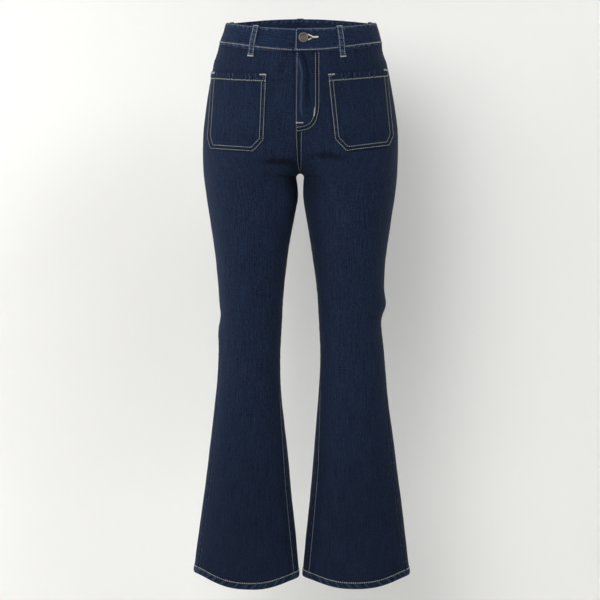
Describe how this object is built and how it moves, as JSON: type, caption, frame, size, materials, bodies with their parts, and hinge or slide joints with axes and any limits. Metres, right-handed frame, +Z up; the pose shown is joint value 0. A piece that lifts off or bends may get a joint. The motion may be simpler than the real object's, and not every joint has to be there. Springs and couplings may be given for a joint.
{
  "type": "bootcut jeans",
  "caption": "Hollow worn form of bootcut jeans: high waistband with belt loops and button, patch pockets with cut corners, legs that flare from the knee.",
  "frame": {"origin": "centre of the waist opening, half way up the waistband at the sides", "axes": "+Z up, front faces -Y, the wearer's left is at +X"},
  "size_m": [0.3852, 0.2409, 1.0013],
  "materials": {
    "denim": "dark indigo denim twill, sewn with greyish cream thread",
    "thread": "greyish cream sewing thread, brighter at the bar tacks",
    "zip_tape": "woven dark tape with a closed coil",
    "aged_metal": "dark antique metal, worn brighter on its edges"
  },
  "bodies": {
    "root": {"front_left": "denim", "front_right": "denim", "back_left": "denim", "back_right": "denim", "yoke_left": "denim", "yoke_right": "denim", "waistband": "denim", "front_pocket_left": "denim", "front_pocket_right": "denim", "back_pocket_left": "denim", "back_pocket_right": "denim", "belt_loop_front_left": "denim", "belt_loop_front_right": "denim", "belt_loop_side_left": "denim", "belt_loop_side_right": "denim", "belt_loop_back": "denim", "fly_shield": "denim", "zip_tape": "zip_tape", "zip_slider": "aged_metal", "button": "aged_metal"}
  },
  "joints": []
}
